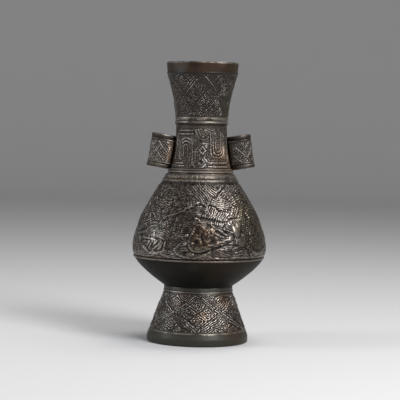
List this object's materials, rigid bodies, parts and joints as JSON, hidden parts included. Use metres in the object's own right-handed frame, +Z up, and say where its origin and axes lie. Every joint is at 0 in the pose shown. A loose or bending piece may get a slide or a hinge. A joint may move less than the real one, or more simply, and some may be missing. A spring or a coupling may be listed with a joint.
{
  "type": "bronze arrow vase",
  "caption": "Dark bronze arrow vase with a trumpet mouth, open tube ears on a tapered neck, a pear-shaped relief belly and a flared hollow foot.",
  "frame": {"origin": "on the vase's axis, at the level that its foot stands on", "axes": "+Z up along the axis towards the mouth, +X towards the right ear seen from the front, +Y away from the viewer"},
  "size_m": [0.0852, 0.0852, 0.18],
  "materials": {
    "relief_bronze": "dark brown patina, worn on the high relief",
    "plain_bronze": "dark greenish-brown patina, satin",
    "inner_bronze": "dull dark patina, uncleaned casting"
  },
  "bodies": {
    "root": {"mouth_section": "relief_bronze", "neck_section": "relief_bronze", "belly_section": "relief_bronze", "lower_bowl": "plain_bronze", "foot_skirt": "relief_bronze", "floor_plate": "inner_bronze", "left_ear_tube": "relief_bronze", "right_ear_tube": "relief_bronze"}
  },
  "joints": []
}
